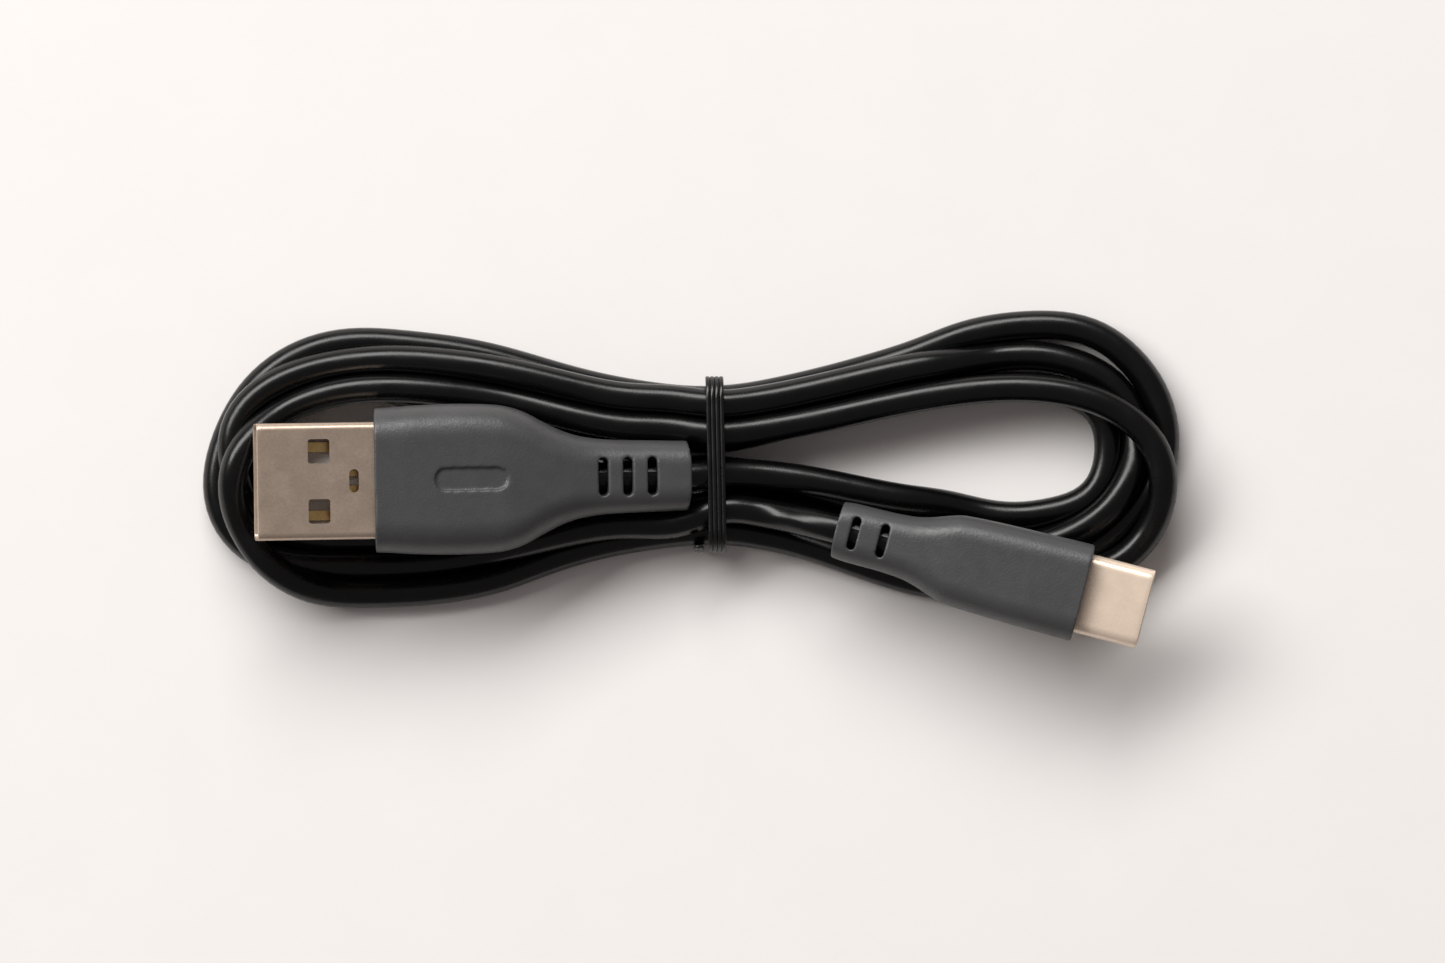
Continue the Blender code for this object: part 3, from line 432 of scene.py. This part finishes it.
def evenly(line, step):
    along = np.concatenate([[0], np.cumsum(np.linalg.norm(np.diff(line, axis=0), axis=1))])
    where = np.linspace(0, along[-1], int(round(along[-1] / step)) + 1)
    return np.stack([np.interp(where, along, line[:, k]) for k in range(3)], axis=1)


def plug_push(points, matrix, widths, heights):
    """How far to move each point so that the cord stays clear of the underside of a plug's rounded body."""
    length = widths[-1][0]
    inverse = np.array(matrix.inverted())
    turn = np.array(matrix.to_3x3())
    local = (points * MM) @ inverse[:3, :3].T / MM + inverse[:3, 3] / MM
    x, y, z = local.T
    wide = np.interp(x, *zip(*widths)) / 2
    high = np.interp(x, *zip(*heights)) / 2
    corner = np.minimum(1.8, np.minimum(wide, high))
    dy = np.maximum(np.abs(y) - (wide - corner), 0)
    dz = np.maximum(np.abs(z) - (high - corner), 0)
    reach = np.hypot(dy, dz)
    depth = CORD_R + 0.05 + corner - reach
    inside = (x > 0.2) & (x < length) & (depth > 0) & (z < 0)
    safe = np.maximum(reach, 1e-6)
    push = np.zeros_like(local)
    push[:, 1] = np.where(reach > 1e-6, np.sign(y) * dy / safe, 0)
    push[:, 2] = np.where(reach > 1e-6, np.sign(z) * dz / safe, -1)
    push *= (np.clip(depth, 0, 0.6) * inside)[:, None]
    return push @ turn.T


# The outside of each plug as (distance from the mouth, width) and (distance from the mouth, height)
A_BLOCK = (((0, 7.2), (9, 7.8), (13, 10), (17.4, 14.2), (20, 15.4), (32.5, 14.9), (32.6, 12.0), (44.8, 12.0)),
           ((0, 5.2), (9, 5.4), (13, 6.2), (17.4, 7.3), (20, 7.6), (32.5, 7.4), (32.6, 4.5), (44.8, 4.5)))
C_BLOCK = (((0, 5.9), (7.5, 6.5), (12.5, 9.3), (26.1, 10.2), (26.2, 8.25), (32.8, 8.25)),
           ((0, 4.7), (7.5, 4.8), (12.5, 5.3), (26.1, 5.4), (26.2, 2.4), (32.8, 2.4)))


# What one round of settling does, in millimetres and in shares of what is needed
ROUNDS = 500
SINK = 0.012
CONTACT_GAP = 0.02
CONTACT_SHARE = 0.24
HOME_SHARE = 0.05
PLUG_SHARE = 0.6
STIFF_SHARE = 0.42
SEARCH_EVERY = 25  # rounds between two searches for strands that are near each other
SEARCH_ROOM = 1.6
HELD = 4  # points at each end that don't move
IN_BORE = 9  # points at each end that its own plug doesn't push


def settle(line, rounds):
    """Lets the cord sink onto the floor, the tie, the plugs and itself.

    Every point is held loosely over its place in the route, and the cord's stiffness evens out its bends. Contacts
    are soft: where strands cross, they still press into each other by up to 0.23 mm.
    """
    home, points = line.copy(), line.copy()
    count = len(points)
    skip = int(math.ceil(1.7 * CORD_D))
    first, last = points[:HELD].copy(), points[-HELD:].copy()
    near_tie = np.clip(1.6 - np.abs(points[:, 0] - TIE_X) / 1.15, 0, 1)[:, None]
    for turn in range(rounds):
        if turn % SEARCH_EVERY == 0:
            low, high = [], []
            for i in range(count - skip):
                gap = np.linalg.norm(points[i + skip:] - points[i], axis=1)
                close = np.nonzero(gap < CORD_D + SEARCH_ROOM)[0] + i + skip
                low.append(np.full(len(close), i))
                high.append(close)
            low, high = np.concatenate(low), np.concatenate(high)
        points[:, 2] -= SINK
        apart = points[low] - points[high]
        size = np.linalg.norm(apart, axis=1)
        share = np.clip(CORD_D + CONTACT_GAP - size, 0, None) * CONTACT_SHARE / np.maximum(size, 1e-6)
        for k in range(3):
            points[:, k] += np.bincount(low, apart[:, k] * share, count)
            points[:, k] -= np.bincount(high, apart[:, k] * share, count)
        points[:, :2] += HOME_SHARE * (home[:, :2] - points[:, :2])
        for matrix, block, free in ((A_FRAME, A_BLOCK, slice(IN_BORE, None)), (C_FRAME, C_BLOCK, slice(0, -IN_BORE))):
            points[free] += PLUG_SHARE * plug_push(points[free], matrix, *block)
        lean = np.zeros_like(points)
        lean[1:-1] = 0.5 * (points[:-2] + points[2:]) - points[1:-1]
        stiff = lean.copy()
        stiff[1:-1] -= 0.5 * (lean[:-2] + lean[2:])
        points[2:-2] += STIFF_SHARE * stiff[2:-2]
        floor = CORD_R + STRAP_TOP * near_tie[:, 0]
        points[:, 2] = np.maximum(points[:, 2], floor)
        points[:HELD], points[-HELD:] = first, last
    return points


def smoothed(line, rounds):
    line = line.copy()
    for _ in range(rounds):
        line[2:-2] = line[2:-2] * 0.4 + 0.2 * (line[1:-3] + line[3:-1]) + 0.1 * (line[:-4] + line[4:])
    return line


def cord_piece():
    """The whole cord as one tube, and its length in millimetres."""
    line = spline(whole_route(), ROUTE_STEP)
    line = smoothed(settle(line, ROUNDS), 2)
    length = float(np.linalg.norm(np.diff(line, axis=0), axis=1).sum())
    curve = bpy.data.curves.new("cord", "CURVE")
    curve.dimensions = "3D"
    curve.twist_mode = "MINIMUM"
    spl = curve.splines.new("POLY")
    spl.points.add(len(line) - 1)
    for point, place in zip(spl.points, line):
        point.co = (*(place * MM), 1.0)
    spl.use_smooth = True
    curve.bevel_depth = CORD_R * MM
    curve.bevel_resolution = 5
    curve.use_fill_caps = True
    obj = bpy.data.objects.new("cord", curve)
    scene.collection.objects.link(obj)
    curve.materials.append(CORD)
    return obj, length


# ---------------------------------------------------------------- boots

def boot_skin(name, matrix, widths, heights, bulges, crown, corner, stations, steps):
    """A moulded boot as a closed skin along +X, bowed at its mouth. Its front face stands upright over the floor."""
    bowed, raked = 3.0, 5  # lengths over which the bow and the rake fade out
    bm = bmesh.new()
    rings = []
    lean = matrix.to_3x3().col[0].z
    for x in stations:
        width, height = 2 * between(x, widths), 2 * between(x, heights)
        section = rounded_outline(width, height, min(corner, height / 2 - 0.05), steps)
        bow = bulges * max(0.0, 1 - x / bowed)
        ring = []
        for y, z in section:
            side = 2 * y / width
            rake = lean * max(0.0, (x - stations[-1] + raked) / raked)
            ring.append((x + bow * side**2 + rake * z, y, z * (1 + crown * (1 - side**2))))
        rings.append(ring)
    loft(bm, rings)
    return finish_mesh(name, bm, BOOT, matrix)


def slot_set(name, places, length, width, matrix, top, groove=0.35):
    """Round-ended slots across the strain relief, from above and from below."""
    cutters = []
    for number, x in enumerate(places):
        outline = [(x + v, u) for u, v in rounded_outline(length, width, width / 2, 10)]
        cutters.append(prism(f"{name}_up_{number}", outline, groove, top, matrix, 0.06))
        cutters.append(prism(f"{name}_down_{number}", outline, -groove, -top, matrix, 0.06))
    return cutters


def usb_a_boot():
    widths = ((0, 3.58), (3.0, 3.65), (8.3, 3.82), (11.1, 4.17), (13.2, 4.82), (15.3, 5.85), (17.1, 6.80),
              (18.4, 7.25), (19.8, 7.54), (22.0, 7.69), (24.5, 7.74), (28.0, 7.65), (32.5, 7.40))
    heights = ((0, 2.55), (9.0, 2.7), (13.0, 3.1), (17.4, 3.62), (20.0, 3.8), (28.0, 3.78), (32.5, 3.66))
    stations = [0.0, 0.12, 0.3] + [0.6 + 0.4 * i for i in range(79)] + [32.3, 32.42, 32.5]
    boot = boot_skin("usb_a_boot", A_FRAME, widths, heights, 0.28, 0.02, 3.3, stations, 14)
    cutters = [rod("usb_a_bore", -1, 19.0, CORD_R + BORE_ROOM, A_FRAME),
               bar("usb_a_can_room", 17.0, A_BOOT - 6.6, 11.9, 5.0, 1.2, A_FRAME),
               bar("usb_a_shell_room", A_BOOT - 7, A_BOOT + 1, A_SHELL.width + 0.36, A_SHELL.height + 0.36, 0.8,
                    A_FRAME)]
    cutters += slot_set("usb_a_slot", (4.1, 6.64, 9.18), 3.9, 0.94, A_FRAME, 5.0)
    # A plain debossed pill in place of a symbol
    outline = [(A_BOOT - 9.6 + u, v) for u, v in rounded_outline(7.6, 2.4, 1.2, 16)]
    cutters.append(prism("usb_a_mark", outline, 3.55, 6.0, A_FRAME))
    cut(boot, cutters)
    soften(boot, 0.15, 4)
    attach(boot, A_BODY)
    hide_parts("usb_a_overmold")
    return boot


def usb_c_boot():
    widths = ((0, 2.93), (1.4, 3.05), (5.0, 3.1), (7.5, 3.27), (9.0, 3.6), (10.8, 4.2), (12.5, 4.66),
              (16.4, 4.88), (21.0, 5.0), (26.15, 5.08))
    heights = ((0, 2.3), (5.0, 2.35), (9.0, 2.5), (12.5, 2.66), (18.0, 2.7), (26.15, 2.66))
    stations = [0.0, 0.12, 0.3] + [0.6 + 0.36 * i for i in range(70)] + [25.9, 26.05, 26.15]
    boot = boot_skin("usb_c_boot", C_FRAME, widths, heights, 0.12, 0.025, 2.5, stations, 14)
    cutters = [rod("usb_c_bore", -1, 10.5, CORD_R + BORE_ROOM, C_FRAME),
               bar("usb_c_mould_room", 10.6, 13.9, 6.3, 3.5, 0.7, C_FRAME),
               bar("usb_c_can_room", 13.6, 21.6, 8.2, 3.2, 0.5, C_FRAME),
               bar("usb_c_shell_room", C_BOOT - 5, C_BOOT + 1, C_SHELL.width + 0.3, C_SHELL.height + 0.3, 1.35,
                    C_FRAME, 10)]
    cutters += slot_set("usb_c_slot", (1.95, 5.0), 3.4, 0.8, C_FRAME, 4.0)
    cut(boot, cutters)
    soften(boot, 0.14, 4)
    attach(boot, C_BODY)
    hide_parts("usb_c_overmold")
    return boot


# ---------------------------------------------------------------- shells

def shell_skin(name, x0, tip, width, height, radius, wall, material, matrix, steps):
    """A drawn shell, open at both ends, with its front rim rolled over."""
    bm = bmesh.new()
    lip = wall * 0.45
    profile = [(x0, 0.0), (tip - 3.0, 0.0), (tip - 0.5, 0.0), (tip - lip, 0.0), (tip - 0.3 * lip, 0.12 * wall),
               (tip, 0.42 * wall), (tip, 0.58 * wall), (tip - 0.3 * lip, 0.88 * wall), (tip - lip, wall),
               (tip - 3.0, wall), (x0, wall)]
    rings = []
    for x, inset in profile:
        section = rounded_outline(width - 2 * inset, height - 2 * inset, radius - inset, steps)
        rings.append([(x, y, z) for y, z in section])
    loft(bm, rings, caps=False, closed=True)
    return finish_mesh(name, bm, material, matrix, 30)


def even_normals(obj):
    """Lets the broad flat faces decide the shading, so that it doesn't bend near their cut edges."""
    obj.data.shade_smooth()
    obj.data.set_sharp_from_angle(angle=math.radians(40))
    modifier = obj.modifiers.new("normals", "WEIGHTED_NORMAL")
    modifier.weight, modifier.keep_sharp = 100, True
    apply_modifiers(obj)


def bevel(obj, width, angle=50.0, segments=2):
    modifier = obj.modifiers.new("edges", "BEVEL")
    modifier.width, modifier.segments = width * MM, segments
    modifier.limit_method, modifier.angle_limit = "ANGLE", math.radians(angle)
    apply_modifiers(obj)
    even_normals(obj)


def usb_a_shell():
    width, height, wall, out, inside = A_SHELL
    tip = A_BOOT + out
    shell = shell_skin("usb_a_shell_skin", A_BOOT - inside, tip, width, height, 0.75, wall, CHAMPAGNE, A_FRAME, 8)
    cutters = []
    for number, y in enumerate((-3.08, 3.08)):
        outline = [(tip - 6.35 + u, y + v) for u, v in rounded_outline(2.25, 2.5, 0.3, 6)]
        cutters.append(prism(f"window_{number}", outline, -height, height, A_FRAME))
    outline = [(tip - 9.95 + u, v) for u, v in rounded_outline(1.0, 2.4, 0.5, 8)]
    cutters.append(prism("stake", outline, 0.0, height, A_FRAME))
    cut(shell, cutters)
    bevel(shell, 0.05)
    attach(shell, A_BODY)
    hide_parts("usb_a_shell")
    return shell


def usb_c_shell():
    width, height, wall, out, inside = C_SHELL
    shell = shell_skin("usb_c_shell_skin", C_BOOT - inside, C_BOOT + out, width, height, height / 2, wall,
                       PALE_GOLD, C_FRAME, 16)
    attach(shell, C_BODY)
    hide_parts("usb_c_shell")
    return shell


# ---------------------------------------------------------------- tie

def tie_band():
    """A ribbed band round the waist, with four round ridges side by side. Its inside is a box with round corners."""
    front, back = -7.4 + SHIFT[1], 9.8 + SHIFT[1]
    low, high = 0.49, 6.72
    outline = rounded_outline(back - front, high - low, 1.9, 14)
    y0, z0 = (front + back) / 2, (low + high) / 2
    ridges, width, thick = 4, 1.86, 0.42
    bm = bmesh.new()
    section = []
    for ridge in range(ridges):
        for step in range(7):
            a = math.pi * (1 - step / 6)
            x = width * ((ridge + 0.5 + 0.5 * math.cos(a)) / ridges - 0.5)
            section.append((x, thick - 0.10 + 0.15 * math.sin(a)))
    section += [(width / 2, 0.06), (width / 2 - 0.08, 0.0), (-width / 2 + 0.08, 0.0), (-width / 2, 0.06)]
    rings = []
    slant = math.tan(math.radians(1.1))
    n = len(outline)
    for x, lift in section:
        ring = []
        for i in range(n):
            (ya, za), (yb, zb) = outline[i - 1], outline[(i + 1) % n]
            ty, tz = yb - ya, zb - za
            size = math.hypot(ty, tz)
            y, z = outline[i][0] + lift * tz / size, outline[i][1] - lift * ty / size
            wave = 0.035 * math.sin(0.9 * y + 1.3)
            ring.append((TIE_X + SHIFT[0] + x - slant * y + wave, y0 + y, z0 + z))
        rings.append(ring)
    loft(bm, rings, caps=False, closed=True)
    band = finish_mesh("tie_ribbed_band", bm, TIE, None, 70)
    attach(band, HANK_BODY)
    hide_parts("tie_band")
    return band


def tie_tail():
    """The band's loose end, folded up beside it against the hank, with its tip rounded off."""
    width, thick, x0 = 1.1, 0.5, TIE_X + SHIFT[0] - 1.75
    bm = bmesh.new()
    rings = []
    for z, y, size in ((0.45, -7.42, 0.7), (0.7, -7.48, 0.95), (1.6, -7.58, 1.0), (2.7, -7.58, 1.0), (3.7, -7.46, 1.0),
                       (4.4, -7.34, 0.97), (4.75, -7.28, 0.8), (4.92, -7.25, 0.45)):
        ring = []
        for i in range(28):
            a = 2 * math.pi * i / 28
            x, out = math.cos(a), math.sin(a)
            ridge = 0.07 * math.cos(3 * math.pi * x) if out < 0 else 0.0
            ring.append((x0 + size * width / 2 * x, y + SHIFT[1] + size * (thick / 2 * out + ridge * out), z))
        rings.append(ring)
    loft(bm, rings)
    tail = finish_mesh("tie_ribbed_tail", bm, TIE, None, 70)
    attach(tail, HANK_BODY)
    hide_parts("tie_tail")
    return tail


# ---------------------------------------------------------------- assembly

# The first word that a CAD node's name holds decides its material. The cord's own pieces match none.
DRESS = (
    ("insulator", INSULATOR), ("inner_mould", INSULATOR), ("carrier", CARRIER), ("resistor", CARRIER),
    ("contact", GOLD), ("shield_can", TINNED), ("fork", STEEL), ("board", BOARD),
    ("wire_red", WIRES["red"]), ("wire_white", WIRES["white"]), ("wire_green", WIRES["green"]),
    ("wire_black", WIRES["black"]), ("tie", TIE), ("usb_a_shell", CHAMPAGNE), ("usb_c_shell", PALE_GOLD),
    ("overmold", BOOT),
)


def dress_cad_nodes():
    """Gives every CAD node a procedural material."""
    for name, obj in frame["nodes"].items():
        obj.data.materials.clear()
        obj.data.materials.append(next((material for word, material in DRESS if word in name), CORD))


FLOOR_HALF = 1500  # millimetres
KEY_DISTANCE, KEY_DIRECTION, KEY_SIZE, KEY_POWER = 1.8, (-0.44, 0.64, 0.67), (2.7, 0.75), 61.0
SENSOR = 36.0
CAMERA_PLACE = (0.003057, -0.000234, 2.0)
VIEW_DISTANCE, VIEW_WIDTH = 1.991, 0.1482  # metres: from the camera to the plugs, and across the view there


def stage():
    bm = bmesh.new()
    bmesh.ops.create_grid(bm, x_segments=8, y_segments=8, size=FLOOR_HALF)
    floor = finish_mesh("floor", bm, floor_material())


def look_at(obj, target):
    obj.rotation_mode = "QUATERNION"
    obj.rotation_quaternion = (Vector(target) - obj.location).to_track_quat("-Z", "Y")


def area_light(name, place, target, size, power, colour):
    data = bpy.data.lights.new(name, "AREA")
    data.shape, data.size, data.size_y = "RECTANGLE", size[0], size[1]
    data.energy, data.color = power, colour
    obj = bpy.data.objects.new(name, data)
    scene.collection.objects.link(obj)
    obj.location = place
    look_at(obj, target)


def lights_and_camera():
    key = KEY_DISTANCE * Vector(KEY_DIRECTION).normalized()
    area_light("key_upper_left", key, (0, 0, 0), KEY_SIZE, KEY_POWER, (1.0, 0.99, 0.975))
    world = bpy.data.worlds.new("studio_fill")
    scene.world = world
    world.use_nodes = True
    background = world.node_tree.nodes["Background"]
    background.inputs["Color"].default_value = (1.0, 0.915, 0.905, 1)
    background.inputs["Strength"].default_value = 0.18

    camera = bpy.data.cameras.new("camera")
    camera.sensor_width = SENSOR
    camera.lens = SENSOR * VIEW_DISTANCE / VIEW_WIDTH
    camera.clip_start, camera.clip_end = 0.05, 5.0
    obj = bpy.data.objects.new("camera", camera)
    scene.collection.objects.link(obj)
    obj.location = CAMERA_PLACE
    scene.camera = obj
    scene.view_settings.view_transform = "Standard"
    scene.view_settings.look = "None"


stage()
lights_and_camera()
dress_cad_nodes()
cord, cord_length = cord_piece()
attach(cord, HANK_BODY)
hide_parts("cord_hank", "cord_lead_usb_c")
usb_a_boot()
usb_c_boot()
usb_a_shell()
usb_c_shell()
tie_band()
tie_tail()
